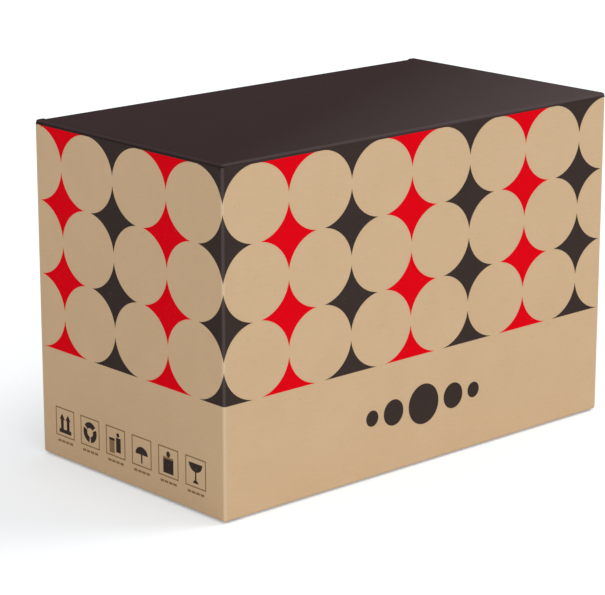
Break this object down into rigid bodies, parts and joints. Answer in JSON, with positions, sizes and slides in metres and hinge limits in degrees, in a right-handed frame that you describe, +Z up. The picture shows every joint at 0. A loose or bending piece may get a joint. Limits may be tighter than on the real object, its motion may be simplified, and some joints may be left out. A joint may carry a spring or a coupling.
{
  "type": "printed cardboard box",
  "caption": "Rectangular tuck-top carton folded from corrugated board, with a hinged lid, dust flaps, a glued bottom and an all-round print of round dots between stars.",
  "frame": {"origin": "centre of the carton's footprint, on the surface that it stands on", "axes": "+X along the length, to the right as seen from the front; +Y towards the back wall, where the lid tucks in; +Z up"},
  "size_m": [0.35, 0.19, 0.23],
  "materials": {
    "kraft_board": "matte",
    "dark_print": "matte",
    "red_print": "matte"
  },
  "bodies": {
    "carton": {"carton": "kraft_board"},
    "lid": {"lid": "dark_print"}
  },
  "joints": [
    {"name": "lid_hinge", "type": "hinge", "parent": "carton", "child": "lid", "pos_m": [0, -0.095, 0.23], "axis": [1, 0, 0], "range_deg": [0, 240]}
  ]
}
